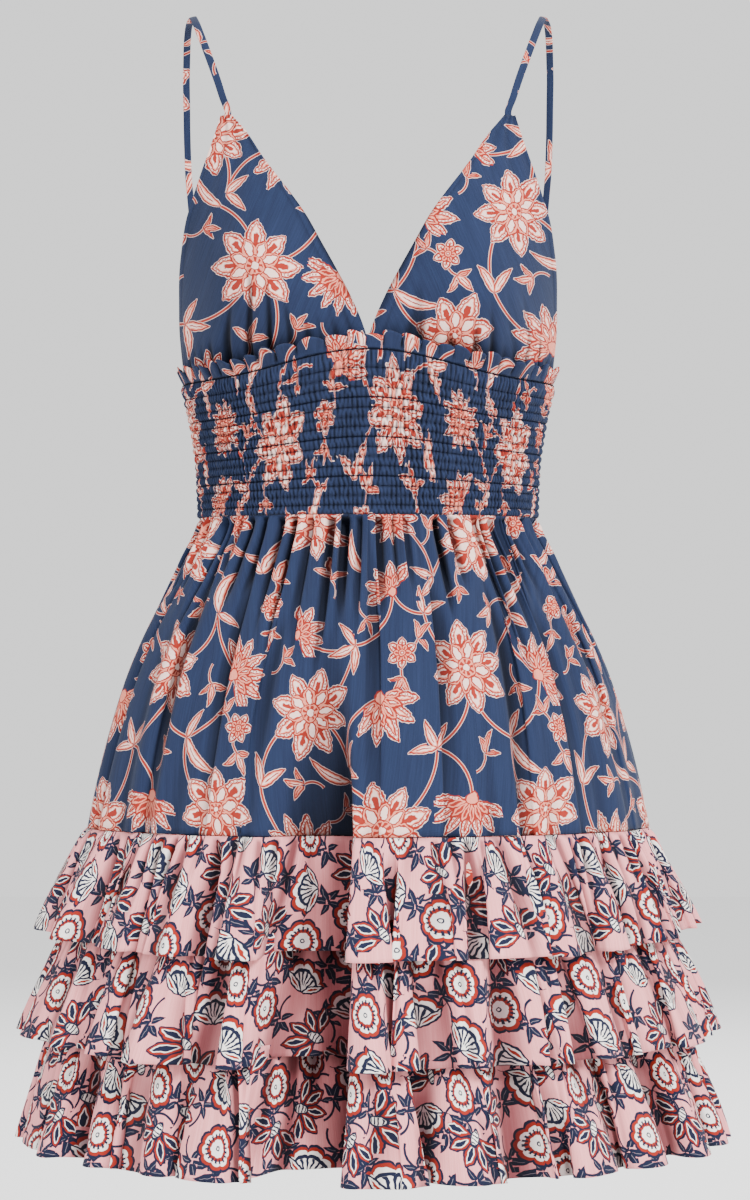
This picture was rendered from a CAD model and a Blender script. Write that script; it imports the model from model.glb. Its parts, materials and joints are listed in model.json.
# %% [markdown]
# # A summer dress of two printed cottons
#
# This lesson dresses the plain model of a sleeveless dress. The model holds the cut: two cups on
# straps, a shirred waist band, a skirt and three ruffles. Here each piece becomes a thin fine cloth
# with its own folds, and the two prints are drawn by shader maths. Metres, +Z up, front towards -Y.

import json

import bpy
import numpy as np
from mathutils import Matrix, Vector

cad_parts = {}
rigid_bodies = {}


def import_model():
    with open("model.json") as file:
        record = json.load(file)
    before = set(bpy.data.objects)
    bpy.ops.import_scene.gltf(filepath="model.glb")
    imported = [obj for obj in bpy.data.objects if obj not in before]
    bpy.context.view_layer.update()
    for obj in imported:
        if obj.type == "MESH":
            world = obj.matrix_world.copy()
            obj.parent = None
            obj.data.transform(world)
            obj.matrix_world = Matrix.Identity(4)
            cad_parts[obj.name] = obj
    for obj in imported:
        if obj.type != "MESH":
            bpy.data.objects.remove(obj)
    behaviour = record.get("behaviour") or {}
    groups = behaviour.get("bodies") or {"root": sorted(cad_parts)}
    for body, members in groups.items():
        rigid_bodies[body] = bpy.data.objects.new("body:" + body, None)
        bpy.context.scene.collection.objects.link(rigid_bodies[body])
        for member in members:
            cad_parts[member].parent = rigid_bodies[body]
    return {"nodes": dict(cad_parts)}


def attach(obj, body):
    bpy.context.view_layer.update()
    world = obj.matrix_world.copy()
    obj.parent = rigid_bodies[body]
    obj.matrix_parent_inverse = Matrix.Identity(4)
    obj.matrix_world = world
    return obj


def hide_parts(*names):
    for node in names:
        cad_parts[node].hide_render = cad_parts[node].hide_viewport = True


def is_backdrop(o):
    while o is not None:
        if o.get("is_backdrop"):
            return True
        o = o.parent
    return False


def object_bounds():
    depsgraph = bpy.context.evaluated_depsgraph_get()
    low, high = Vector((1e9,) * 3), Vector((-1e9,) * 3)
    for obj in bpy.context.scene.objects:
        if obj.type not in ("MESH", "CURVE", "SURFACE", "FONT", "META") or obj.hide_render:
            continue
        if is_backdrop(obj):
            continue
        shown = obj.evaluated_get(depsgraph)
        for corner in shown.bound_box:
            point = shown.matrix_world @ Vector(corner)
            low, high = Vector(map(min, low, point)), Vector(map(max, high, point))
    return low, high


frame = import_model()
cad_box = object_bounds()
print("pieces in the frame:", ", ".join(sorted(frame["nodes"])))

# %% [markdown]
# ## The form under the cloth
#
# The dress hangs as if it were worn, so every piece lies on one smooth body. It could be sculpted,
# but a table of oval sections is easier to change: each row gives the half width and the depths at
# one height, and a curve that never passes a row's value joins them.

# %% Tables of sections, in metres
# Height, half width, front depth, back depth
FORM = np.array([
    (-0.07, 0.149, 0.086, 0.085),
    (-0.097, 0.151, 0.094, 0.086),
    (-0.118, 0.1515, 0.1, 0.087),
    (-0.138, 0.1505, 0.102, 0.088),
    (-0.1745, 0.146, 0.1, 0.089),
    (-0.213, 0.14, 0.099, 0.089),
    (-0.25, 0.1362, 0.0985, 0.0885),
    (-0.268, 0.134, 0.097, 0.088),
    (-0.297, 0.1278, 0.0925, 0.085),
    (-0.3295, 0.1232, 0.0885, 0.0825),
    (-0.364, 0.122, 0.088, 0.0825),
    (-0.3944, 0.135, 0.102, 0.0975),
    (-0.4227, 0.1497, 0.1165, 0.1125),
    (-0.4473, 0.162, 0.127, 0.1245),
    (-0.4749, 0.1738, 0.137, 0.136),
    (-0.5082, 0.1846, 0.147, 0.1475),
    (-0.5445, 0.1943, 0.156, 0.1565),
    (-0.586, 0.203, 0.165, 0.1655),
    (-0.652, 0.215, 0.176, 0.1765),
    (-0.735, 0.23, 0.19, 0.1905),
    (-0.84, 0.248, 0.206, 0.2065),
])
# Height above the cups' seam, how far the bust stands forward
BUST = np.array([
    (-0.05, 0),
    (0, 0),
    (0.01, 0.0045),
    (0.03, 0.019),
    (0.052, 0.03),
    (0.075, 0.031),
    (0.11, 0.018),
    (0.155, 0.004),
    (0.19, 0),
])
# Degrees from the front centre to each cup's fullest part, and how wide its bell curve is
BUST_ANGLE, BUST_SPREAD = 36, 24
# The band's top edge at the sides, its rise at the front centre, and how wide that rise is
BAND_TOP_SIDE, BAND_TOP_RISE, BAND_TOP_RISE_ANGLE = -0.268, 0.0195, 32
# Heights of the seams and hems, and of the place where the large folds stop wandering
WAIST, SKIRT_HEM, FOLDS_END = -0.364, -0.586, -0.74
# How far below its start a large fold has grown to its full depth
FOLD_GROWTH = 0.36
UNDERSKIRT_TOP, TIER_2_SEAM, UNDERSKIRT_HEM = -0.58, -0.652, -0.7267
# The plain model's wall and its gap at a seam, and the fine cloth's thickness
WALL, SEAM_GAP, CLOTH = 0.0016, 0.0003, 0.0007


# %% Curves through a table, and points on the form
def smooth_between(at, table, column):
    """A cubic between each two rows, whose slope at a row is the harmonic mean of its two sides."""
    places, values = table[:, 0], table[:, column]
    if places[0] > places[-1]:
        places, values = places[::-1], values[::-1]
    rise = np.diff(values) / np.diff(places)
    product, total = rise[:-1] * rise[1:], rise[:-1] + rise[1:]
    inner = np.where(product > 0, 2 * product / np.where(product > 0, total, 1.0), 0.0)
    slopes = np.concatenate([rise[:1], inner, rise[-1:]])
    at = np.clip(at, places[0], places[-1])
    row = np.clip(np.searchsorted(places, at) - 1, 0, len(places) - 2)
    span = places[row + 1] - places[row]
    t = (at - places[row]) / span
    return (
        values[row] * (1 + 2 * t) * (1 - t) ** 2
        + values[row + 1] * t * t * (3 - 2 * t)
        + span * slopes[row] * t * (1 - t) ** 2
        + span * slopes[row + 1] * t * t * (t - 1)
    )


def smooth_step(value, start, end):
    """0 before start, 1 after end, and 3t^2 - 2t^3 between them."""
    t = np.clip((value - start) / (end - start), 0, 1)
    return t * t * (3 - 2 * t)


def turned(angle):
    """The same angle between -180 and 180 degrees, with 0 at the front."""
    return (angle + 180) % 360 - 180


def ring_point(angle, half_width, front, back, outwards=0.0):
    """x = a sin t, y = -b cos t, moved outwards along the oval's normal."""
    turn = np.radians(angle)
    depth = np.where(np.cos(turn) > 0, front, back)
    across, along = np.sin(turn), -np.cos(turn)
    normal_x, normal_y = across * depth, along * half_width
    length = np.hypot(normal_x, normal_y)
    x = half_width * across + outwards * normal_x / length
    y = depth * along + outwards * normal_y / length
    return x, y


def band_top(angle):
    """The side height plus a bell curve that rises to the front centre."""
    bell = np.exp(-((turned(angle) / BAND_TOP_RISE_ANGLE) ** 2))
    return BAND_TOP_SIDE + BAND_TOP_RISE * bell


def form_point(angle, height, outwards=0.0):
    """The oval of that height, with the bust as a bell curve of angle times its profile."""
    half_width, front, back = (smooth_between(height, FORM, column) for column in (1, 2, 3))
    x, y = ring_point(angle, half_width, front, back, outwards)
    bust = np.exp(-(((np.abs(turned(angle)) - BUST_ANGLE) / BUST_SPREAD) ** 2))
    y = y - bust * smooth_between(height - band_top(angle), BUST, 1)
    return np.stack([x, y, height + 0 * x], axis=-1)


def normals_of(place, angle, height):
    """The cross product of the two small steps along a surface, at unit length."""
    step_angle, step_height = 0.01, 1e-5
    across = place(angle + step_angle, height) - place(angle - step_angle, height)
    up = place(angle, height + step_height) - place(angle, height - step_height)
    normal = np.cross(across, up)
    return normal / np.linalg.norm(normal, axis=-1, keepdims=True)


waist_ring = form_point(np.linspace(0, 360, 361), np.full(361, WAIST))
waist_round = np.linalg.norm(np.diff(waist_ring, axis=0), axis=1).sum()
print(f"round the waist: {waist_round:.3f} m")

# %% [markdown]
# ## Folds
#
# A gathered skirt falls in a few large folds that run on through the ruffles, and in many small ones.
# Cloth simulation gives folds, but not these folds in these places. So the large ones come from a
# table with a row for each, and the small ones are waves whose spacing and height vary.

# %% The large folds
# Angle at the waist, angle at the hem, half width in degrees, depth at the hem, height where it
# starts, lean, flatness of its floor, and how far its floor slips under the rim towards +X
SKIRT_FOLDS = np.array([
    (-60, -58, 5.5, 0.01, -0.44, -0.5, 2, 0.3),
    (-43, -42, 4.5, 0.008, -0.43, 0.5, 2, -0.4),
    (-29, -30, 4.5, 0.009, -0.42, 0.4, 2, 0.5),
    (-10.4, -10.9, 6.4, 0.054, -0.41, 0.2, 4, 1.05),
    (10, 11, 4.5, 0.008, -0.42, -0.4, 2, -0.4),
    (30, 23.5, 4.5, 0.013, -0.42, -0.8, 2, 0.9),
    (44, 41, 4.5, 0.012, -0.44, -0.5, 2, -0.6),
    (58, 57, 5, 0.011, -0.45, 0.5, 2, 0.5),
    (74, 76, 5.5, 0.007, -0.45, 0.3, 2, 0.2),
    (104, 103, 5, 0.009, -0.44, -0.4, 2, -0.3),
    (122, 121, 5.5, 0.013, -0.43, 0.6, 2, 0.7),
    (140, 143, 5, 0.01, -0.42, -0.3, 2, -0.5),
    (160, 161, 5.5, 0.017, -0.42, 0.7, 2, 0.8),
    (183, 181, 5, 0.008, -0.42, -0.5, 2, -0.4),
    (199, 200, 6, 0.028, -0.42, -0.3, 4, -0.9),
    (219, 221, 5, 0.011, -0.43, 0.5, 2, 0.5),
    (238, 240, 5, 0.012, -0.44, -0.5, 2, -0.6),
    (256, 257, 5, 0.008, -0.44, 0.3, 2, 0.3),
])


def slip_under(offset, slip, grown, beside, reach):
    """A bell curve of slip beside the fold's middle, on the side that the cloth slips to."""
    return slip * grown * np.exp(-(((offset - beside * np.sign(slip)) / reach) ** 2))


def large_folds(angle, height):
    """How deep the folds are, and how many degrees their floors slip under one rim.

    A fold's depth is its own, times how far it has grown, times exp(-|offset|^flatness).
    """
    depth = np.zeros(np.broadcast(angle, height).shape)
    slipped = np.zeros_like(depth)
    down = np.clip((WAIST - height) / (WAIST - FOLDS_END), 0, 1)
    for waist_angle, hem_angle, half_width, deep, start, lean, flatness, slip in SKIRT_FOLDS:
        offset = turned(angle - (waist_angle + (hem_angle - waist_angle) * down)) / half_width
        skewed = offset * (1 + 0.75 * lean * np.tanh(1.5 * offset))
        grown = smooth_step(-height, -start, -start + FOLD_GROWTH)
        depth = depth + deep * grown * np.exp(-(np.abs(skewed) ** flatness))
        grown = smooth_step(-height, -start + 0.03, -start + 0.24)
        slipped = slipped + slip_under(offset, slip * half_width, grown, 0.5, 0.45)
    return depth, slipped


def creases(angle, down, table):
    """Narrow valleys: how deep exp(-|offset|^3) makes them, and the slip that closes them."""
    depth = np.zeros(np.broadcast(angle, down).shape)
    slipped = np.zeros_like(depth)
    for top_angle, hem_angle, half_width, deep, slip, start in table:
        offset = turned(angle - (top_angle + (hem_angle - top_angle) * down)) / half_width
        grown = smooth_step(down, start - 0.05, start + 0.45)
        depth = depth + deep * grown * np.exp(-(np.abs(offset) ** 3))
        slipped = slipped + slip_under(offset, slip * half_width, grown, 0.4, 0.5)
    return depth, slipped


def hidden_creases(seed, first, last):
    """Creases for the sides that no photograph shows, spaced and sized like those in front."""
    random = np.random.default_rng(seed)
    at = first + np.cumsum(random.uniform(7, 15, 30))
    at = at[at < last]
    count = len(at)
    return np.column_stack([
        at,
        at + random.uniform(-1.5, 1.5, count),
        random.uniform(1.5, 2.1, count),
        random.uniform(0.0045, 0.0085, count),
        random.uniform(1.0, 1.3, count) * random.choice([-1, 1], count),
        random.uniform(0.0, 0.3, count),
    ])


def all_creases(rows, *seed_and_range):
    """The creases that the photo shows, whose rows have depths in millimetres, and the hidden ones."""
    return np.vstack([np.array(rows) / (1, 1, 1, 1000, 1, 1), hidden_creases(*seed_and_range)])


def at_the_seams(angle):
    """0 at the two side seams and 1 a few degrees from them."""
    return smooth_step(np.abs(np.abs(turned(angle)) - 90), 0.3, 4.0)


def uneven_wave(angle, waves, seed, unevenness=1.0):
    """The phase of a wave with whole periods round the dress, whose spacing drifts."""
    turn = np.radians(angle)
    random = np.random.default_rng(seed)
    sizes = {3: 0.8, 5: 0.7, 8: 0.5, 13: 0.35}
    drift = sum(size * np.sin(count * turn + random.uniform(0, 2 * np.pi)) for count, size in sizes.items())
    return waves * turn + unevenness * drift


def slow_change(angle, seed, low, high):
    """A value that wanders between low and high round the dress."""
    turn = np.radians(angle)
    random = np.random.default_rng(seed)
    total = sum(np.sin(count * turn + random.uniform(0, 2 * np.pi)) for count in (4, 7, 11, 17))
    return low + (high - low) * (0.5 + 0.5 * np.tanh(0.7 * total))


# %% [markdown]
# ## A print laid out on the cloth
#
# The two cottons are block prints: flowers, leaves and stems repeat over the cloth. An image could
# hold them, but here a shader draws each motif, so it stays sharp. The layout is a short table for
# one repeat. Every face of the cloth is told which flower, leaf and stem lies nearest, and where in
# that motif its corners are. The shader then draws only one motif of each kind, whatever their number.

# %% The blue print's layout, in millimetres
# The layout is enlarged by this, while its lines keep their widths
BLUE_SCALE = 1.36
BLUE_REPEAT = (BLUE_SCALE * 210, BLUE_SCALE * 235)
# A flower is whole when its petals reach further round than this, in degrees to either side
WHOLE = 170
# x, y, radius, turn, petals, disc, half spread of the petals in degrees
BLUE_FLOWERS = np.array([
    (38, 42, 26, 10, 8, 0.34, 300),
    (150, 30, 25, -8, 7, 0.3, 300),
    (95, 108, 27, 22, 8, 0.36, 300),
    (190, 118, 24, 0, 7, 0.3, 300),
    (40, 168, 25, -15, 8, 0.34, 300),
    (142, 192, 26, 12, 8, 0.36, 300),
    (94, 42, 17, 30, 12, 0.44, 300),
    (200, 62, 25, -40, 12, 0.22, 85),
    (34, 92, 27, 25, 12, 0.22, 85),
    (143, 124, 24, 170, 14, 0.24, 80),
    (84, 176, 26, -150, 12, 0.22, 85),
    (196, 188, 24, -60, 12, 0.24, 95),
    (190, 40, 9.5, 10, 6, 0.4, 300),
    (10, 226, 9, 40, 6, 0.4, 300),
    (98, 200, 9.5, 0, 6, 0.4, 300),
    (204, 160, 9, 25, 6, 0.4, 300),
    (92, 234, 19, 40, 10, 0.24, 80),
    (30, 210, 18, -70, 10, 0.24, 80),
], dtype=float)
# x, y of the base, length, direction, fatness, bend
BLUE_TWIG_LEAVES = [
    (66, 66, 20, -60, 0.22, 0.3), (66, 66, 17, 10, 0.26, -0.2), (66, 66, 15, 80, 0.26, 0.2),
    (118, 60, 30, 35, 0.17, 0.5), (118, 60, 18, -50, 0.24, -0.2),
    (176, 88, 17, 200, 0.25, 0.2), (176, 88, 17, 130, 0.26, 0.2), (176, 88, 15, 265, 0.26, 0.2),
    (10, 62, 28, 110, 0.18, -0.5), (10, 130, 18, 30, 0.25, 0.2), (10, 130, 18, 100, 0.25, -0.2),
    (62, 132, 26, 150, 0.18, 0.5), (62, 140, 16, 60, 0.26, 0.1), (62, 140, 16, -20, 0.26, 0.1),
    (120, 150, 17, 120, 0.26, 0.2), (120, 150, 17, 190, 0.25, -0.2), (120, 150, 15, 60, 0.26, 0.1),
    (168, 155, 30, -40, 0.17, -0.5), (168, 155, 17, 60, 0.25, 0.2),
    (66, 204, 18, 200, 0.25, 0.2), (66, 204, 16, 270, 0.25, 0.1), (66, 204, 16, 130, 0.25, -0.2),
    (112, 222, 18, 20, 0.24, 0.2), (112, 222, 16, 100, 0.26, 0.2), (178, 222, 28, 60, 0.18, 0.5),
    (178, 222, 16, -30, 0.25, 0.2), (4, 10, 18, 60, 0.25, 0.2), (4, 10, 18, 140, 0.25, -0.2),
    (70, 10, 26, 100, 0.18, 0.4), (120, 8, 16, 160, 0.26, 0.2), (120, 8, 16, 230, 0.26, 0.2),
]
# Small sprigs in the gaps: x, y, direction, length of the longest leaf
BLUE_SPRIGS = [
    (52, 6, 100, 15), (162, 226, 200, 14), (150, 147, 60, 14), (51, 80, 250, 14), (107, 70, 100, 14),
    (57, 117, 30, 12), (178, 183, 280, 12), (166, 63, 190, 12), (130, 86, 80, 13), (74, 219, 300, 12),
    (36, 131, 170, 11), (24, 75, 90, 11), (22, 196, 40, 11), (178, 12, 130, 12), (137, 2, 270, 12),
    (118, 36, 60, 11), (152, 90, 330, 11), (190, 27, 250, 12), (196, 52, 80, 12), (10, 212, 260, 12),
    (14, 240, 60, 12), (98, 187, 250, 12), (108, 208, 30, 12), (204, 147, 280, 12), (194, 168, 110, 12),
]
sprig_random = np.random.default_rng(90)
BLUE_LEAVES = np.vstack([BLUE_TWIG_LEAVES, [
    (x, y, length * share * sprig_random.uniform(0.8, 1.15), turn + lean + sprig_random.uniform(-16, 16),
     sprig_random.uniform(0.22, 0.32), bend * sprig_random.uniform(0.6, 2.4))
    for x, y, turn, length in BLUE_SPRIGS
    for share, lean, bend in ((1.0, 0, 0.2), (0.85, 64, -0.2), (0.8, -64, 0.2))
]])
# x, y of one end, x, y of the other, bulge to the left
BLUE_VINES = [
    (38, 42, 66, 66, 6), (66, 66, 95, 108, -10), (95, 108, 118, 60, 12), (118, 60, 150, 30, -8),
    (150, 30, 176, 88, 12), (176, 88, 190, 118, -4), (176, 88, 200, 62, 5), (10, 62, 38, 42, -6),
    (10, 130, 40, 168, 8), (10, 130, 34, 92, -6), (62, 132, 95, 108, 6), (62, 140, 84, 176, 8),
    (62, 140, 40, 168, -5), (120, 150, 95, 108, 8), (120, 150, 142, 192, -8), (120, 150, 143, 124, 6),
    (168, 155, 190, 118, -8), (168, 155, 142, 192, 8), (168, 155, 196, 188, -6), (66, 204, 40, 168, 6),
    (66, 204, 92, 234, -8), (66, 204, 30, 210, 6), (112, 222, 142, 192, -6), (112, 222, 92, 234, 4),
    (178, 222, 142, 192, 8), (178, 222, 196, 188, -6), (4, 10, 38, 42, 8), (70, 10, 38, 42, -8),
    (120, 8, 150, 30, 6), (120, 8, 94, 42, -5),
]
VINE_WIDTH = 0.9


def sprig_stem(x, y, turn, length, bulge, width):
    """A short stem that runs back from a sprig's foot."""
    lean = np.radians(turn)
    return (x, y, x - length * np.cos(lean), y - length * np.sin(lean), bulge, width)


BLUE_STEMS = np.array(
    [(*vine, VINE_WIDTH) for vine in BLUE_VINES]
    + [sprig_stem(x, y, turn, 11, 2, 0.7) for x, y, turn, _ in BLUE_SPRIGS]
)
BLUE_FLOWERS[:, :3] *= BLUE_SCALE
BLUE_LEAVES[:, :3] *= BLUE_SCALE
BLUE_STEMS[:, :5] *= BLUE_SCALE
print(f"blue print: {len(BLUE_FLOWERS)} flowers, {len(BLUE_LEAVES)} leaves, {len(BLUE_STEMS)} stems")

# %% The pink print's layout, in millimetres
PINK_REPEAT = (144, 152)
# Round scalloped flowers, star flowers on an eye-shaped bud, and fans, on a half-drop lattice
ROUND, STAR, FAN = (15.4, -9, 0.42, 300), (25.2, 9, 0.30, 105), (23.8, -11, 0.62, 60)
PINK_PLACES = [
    (18, 19, ROUND, 0), (18, 57, FAN, 200), (18, 95, STAR, 30), (18, 133, FAN, -50),
    (54, 38, STAR, 150), (54, 76, ROUND, 20), (54, 114, FAN, 95), (54, 0, ROUND, 10),
    (90, 19, FAN, -20), (90, 57, STAR, -100), (90, 95, ROUND, 0), (90, 133, STAR, 60),
    (126, 38, ROUND, 15), (126, 76, FAN, 140), (126, 114, STAR, -30), (126, 0, FAN, 10),
]


def flower_row(x, y, kind, turn):
    """x and y of the middle, moved back to the point that the petals of a part flower spring from."""
    radius, petals, disc, spread = kind
    back = 0.44 * radius if spread < WHOLE else 0.0
    lean = np.radians(turn)
    return (x + back * np.sin(lean), y - back * np.cos(lean), radius, turn, petals, disc, spread)


PINK_FLOWERS = np.array([flower_row(*place) for place in PINK_PLACES], dtype=float)
# x, y and direction of each sprig
PINK_SPRIGS = np.array([
    (36, 10, 70), (36, 50, 250), (36, 88, 100), (36, 124, 280), (0, 10, 110), (0, 52, 60),
    (0, 86, 290), (0, 124, 75), (72, 30, 260), (72, 66, 80), (72, 104, 110), (72, 142, 250),
    (108, 28, 290), (108, 66, 60), (108, 106, 260), (108, 142, 95), (18, 38, 20), (54, 57, 160),
    (90, 76, 200), (126, 95, 340), (20, 114, 170), (54, 19, 350), (90, 114, 10), (126, 20, 190),
])
PINK_LEAVES = np.array([
    (x, y, length, turn + lean, 0.35, bend)
    for x, y, turn in PINK_SPRIGS
    for length, lean, bend in ((15, 0, 0.2), (13, 62, -0.3), (13, -62, 0.3), (11, 128, 0.2), (11, -128, 0.2))
])
PINK_STEMS = np.array([sprig_stem(x, y, turn, 18, 3.5, 0.85) for x, y, turn in PINK_SPRIGS])
print(f"pink print: {len(PINK_FLOWERS)} flowers, {len(PINK_LEAVES)} leaves, {len(PINK_STEMS)} stems")


# %% Give each face its nearest motif
def corners_of(grid):
    """The values at the four corners of each square of a grid."""
    return np.stack([grid[:-1, :-1], grid[1:, :-1], grid[1:, 1:], grid[:-1, 1:]], axis=2)


def offsets_in_repeat(corners, places, repeat):
    """Each face's middle minus each motif, by way of that motif's nearest copy."""
    apart = corners.mean(axis=1, keepdims=True) - places[None, :, :]
    return apart - np.array(repeat) * np.round(apart / np.array(repeat))


def about_nearest(corners, apart, distance):
    """Which motif is nearest to each face, and where the face's corners lie from it."""
    nearest = np.argmin(distance, axis=1)
    from_motif = apart[np.arange(len(corners)), nearest]
    return nearest, (corners - corners.mean(axis=1, keepdims=True)) + from_motif[:, None, :]


def in_motif(motifs, corners, apart, distance):
    """Each face's nearest motif, and its corners in that motif's own turned axes and lengths."""
    nearest, local = about_nearest(corners, apart, distance)
    chosen = motifs[nearest]
    return chosen, turned_into(local, chosen[:, None, 3]) / chosen[:, None, None, 2]


def per_corner(*values):
    """Three values for each corner, where one value for a whole face goes to all four."""
    return np.stack([np.broadcast_to(value, (len(value), 4)) for value in values], axis=2)


def turned_into(vector, degrees):
    """A vector in axes turned by some degrees: x cos + y sin, and y cos - x sin."""
    turn = np.radians(degrees)
    cosine, sine = np.cos(turn), np.sin(turn)
    return np.stack([
        vector[..., 0] * cosine + vector[..., 1] * sine,
        vector[..., 1] * cosine - vector[..., 0] * sine,
    ], axis=-1)


def flower_fields(corners, flowers, repeat):
    """Per corner: the place in the flower in radii and its petals; its disc, spread and radius.

    A part flower springs from its foot, so its middle lies up from there, and it reaches less far.
    """
    lean = np.radians(flowers[:, 3])
    whole = flowers[:, 6] > WHOLE
    rise = np.where(whole, 0.0, 0.42) * flowers[:, 2]
    reach = np.where(whole, 1.0, 0.76) * flowers[:, 2]
    up = np.stack([-np.sin(lean), np.cos(lean)], axis=1) * rise[:, None]
    apart = offsets_in_repeat(corners, flowers[:, :2] + up, repeat)
    distance = np.linalg.norm(apart, axis=2) / reach
    chosen, local = in_motif(flowers, corners, apart + up, distance)
    _, _, radius, _, petals, disc, spread = chosen.T[..., None]
    return per_corner(local[..., 0], local[..., 1], petals), per_corner(disc, np.radians(spread), radius)


def leaf_field(corners, leaves, repeat):
    """Per corner: the share along the leaf, how far across it in lengths, and its fatness."""
    turn = np.radians(leaves[:, 3])
    along_leaf = np.stack([np.cos(turn), np.sin(turn)], axis=1) * leaves[:, 2:3]
    apart = offsets_in_repeat(corners, leaves[:, :2] + 0.5 * along_leaf, repeat)
    share = np.clip((apart * along_leaf).sum(2) / (leaves[:, 2] ** 2), -0.42, 0.5)
    distance = np.linalg.norm(apart - share[..., None] * along_leaf[None], axis=2) / leaves[:, 2] ** 0.5
    chosen, local = in_motif(leaves, corners, apart, distance)
    _, _, length, _, fatness, bend = chosen.T[..., None]
    along = local[..., 0] + 0.5
    across = local[..., 1] - bend * along * (1 - along)
    return per_corner(along, across * length, fatness * length)


def stem_field(corners, stems, repeat):
    """Per corner: distance from the arc in millimetres, share along it, and its half width."""
    start, end, bulge = stems[:, :2], stems[:, 2:4], stems[:, 4]
    chord = end - start
    half = 0.5 * np.linalg.norm(chord, axis=1)
    radius = (half ** 2 + bulge ** 2) / (2 * bulge)
    left = np.stack([-chord[:, 1], chord[:, 0]], axis=1) / (2 * half[:, None])
    middle = 0.5 * (start + end)
    hub = middle + left * (bulge - radius)[:, None]
    from_hub = offsets_in_repeat(corners, middle, repeat) + (middle - hub)[None]
    reach = np.arcsin(np.clip(half / np.abs(radius), -1, 1))
    axis = left * np.sign(radius)[:, None]
    side = np.stack([axis[:, 1], -axis[:, 0]], axis=1)

    def polar(vector, which):
        forward = (vector * axis[which]).sum(-1)
        sideways = (vector * side[which]).sum(-1)
        return np.hypot(forward, sideways) - np.abs(radius[which]), np.arctan2(sideways, forward)

    off, angle = polar(from_hub, np.arange(len(stems)))
    beyond = np.maximum(np.abs(angle) - reach, 0) * np.abs(radius)
    nearest, local = about_nearest(corners, from_hub, np.hypot(off, beyond))
    off, corner_angle = polar(local, nearest[:, None])
    # Opposite the arc the angle jumps by a full turn, so the corners keep close to their middle's
    middle_angle = angle[np.arange(len(corners)), nearest][:, None]
    corner_angle = middle_angle + (corner_angle - middle_angle + np.pi) % (2 * np.pi) - np.pi
    share = corner_angle / reach[nearest][:, None]
    return per_corner(off, share, stems[nearest][:, 5:6])


PRINTS = {
    "blue": (BLUE_REPEAT, BLUE_FLOWERS, BLUE_LEAVES, BLUE_STEMS),
    "pink": (PINK_REPEAT, PINK_FLOWERS, PINK_LEAVES, PINK_STEMS),
}
# A place outside every motif
FAR_OFF = 9.0


def lay_print(mesh, flat, print_name, shift, end_corners=0):
    """Stores the cloth's own place and the fields of a print on a mesh.

    flat is the place of each grid point on the cut cloth. The corners of end faces, which come
    after the grid's, lie far from every motif.
    """
    repeat, flowers, leaves, stems = PRINTS[print_name]
    corners = corners_of(flat).reshape(-1, 4, 2)
    uv = np.concatenate([corners.reshape(-1, 2), np.zeros((end_corners, 2))])
    mesh.uv_layers.new(name="cloth").data.foreach_set("uv", uv.astype(np.float32).ravel())
    in_print = corners * 1000 + np.array(shift, dtype=float)
    place, form = flower_fields(in_print, flowers, repeat)
    fields = {
        "flower_place": place,
        "flower_form": form,
        "leaf_place": leaf_field(in_print, leaves, repeat),
        "stem_place": stem_field(in_print, stems, repeat),
    }
    for name, values in fields.items():
        values = np.concatenate([values.reshape(-1, 3), np.full((end_corners, 3), FAR_OFF)])
        attribute = mesh.attributes.new(name, "FLOAT_VECTOR", "CORNER")
        attribute.data.foreach_set("vector", values.astype(np.float32).ravel())


# %% A cloth piece from a grid of points
def cloth_mesh(name, points, index, flat, print_name, shift, ends=()):
    """Quads between a grid's points, whose numbers are in index, then the end faces of a tube."""
    mesh = bpy.data.meshes.new(name)
    mesh.from_pydata(points.reshape(-1, 3), [], corners_of(index).reshape(-1, 4).tolist() + list(ends))
    mesh.update()
    lay_print(mesh, flat, print_name, shift, sum(len(end) for end in ends))
    return mesh


def distance_along(points, axis):
    """How far each grid point lies from the start of its column (0) or row (1), along the cloth."""
    steps = np.linalg.norm(np.diff(points, axis=axis), axis=2)
    return np.pad(np.cumsum(steps, axis=axis), [(1, 0) if axis == a else (0, 0) for a in (0, 1)])


def full_length(points, axis):
    """How long each column (0) or row (1) of the cloth is."""
    return distance_along(points, axis).take(-1, axis=axis)


def surface_area(points):
    """The sum of the cross products of each square's two sides, as lengths."""
    across, down = np.diff(points, axis=1)[:-1], np.diff(points, axis=0)[:, :-1]
    return np.linalg.norm(np.cross(across, down), axis=2).sum()


def averaged(points, reach, axis):
    """The mean of the points within that reach of each one, along one axis of the grid."""
    step = np.linalg.norm(np.diff(points, axis=axis), axis=2).mean()
    half = max(1, round(reach / step))
    edges = [(half + 1, half) if axis == a else (0, 0) for a in range(3)]
    total = np.cumsum(np.pad(points, edges, mode="edge"), axis=axis)
    window = 2 * half + 1
    end = np.take(total, range(window, total.shape[axis]), axis=axis)
    start = np.take(total, range(total.shape[axis] - window), axis=axis)
    return (end - start) / window


def hollows(points, windows):
    """Shade between 0 and 1: how far a point lies behind its neighbours' mean, at several reaches."""
    outwards = points[..., :2] / np.linalg.norm(points[..., :2], axis=2, keepdims=True)
    light = np.ones(points.shape[:2])
    for reach, axis, deep, strength in windows:
        behind = ((averaged(points, reach, axis) - points)[..., :2] * outwards).sum(axis=2)
        light = light * (1 - strength * np.clip(behind / deep, 0, 1))
    return 1 - light


# Reach, grid axis, depth at which it is darkest, and how dark
FALLING_FOLDS = ((0.0045, 1, 0.0009, 0.50), (0.012, 1, 0.0032, 0.70), (0.045, 1, 0.016, 0.90))


def linked(name, data):
    """A new object in the scene, at the origin."""
    thing = bpy.data.objects.new(name, data)
    bpy.context.scene.collection.objects.link(thing)
    return thing


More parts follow.
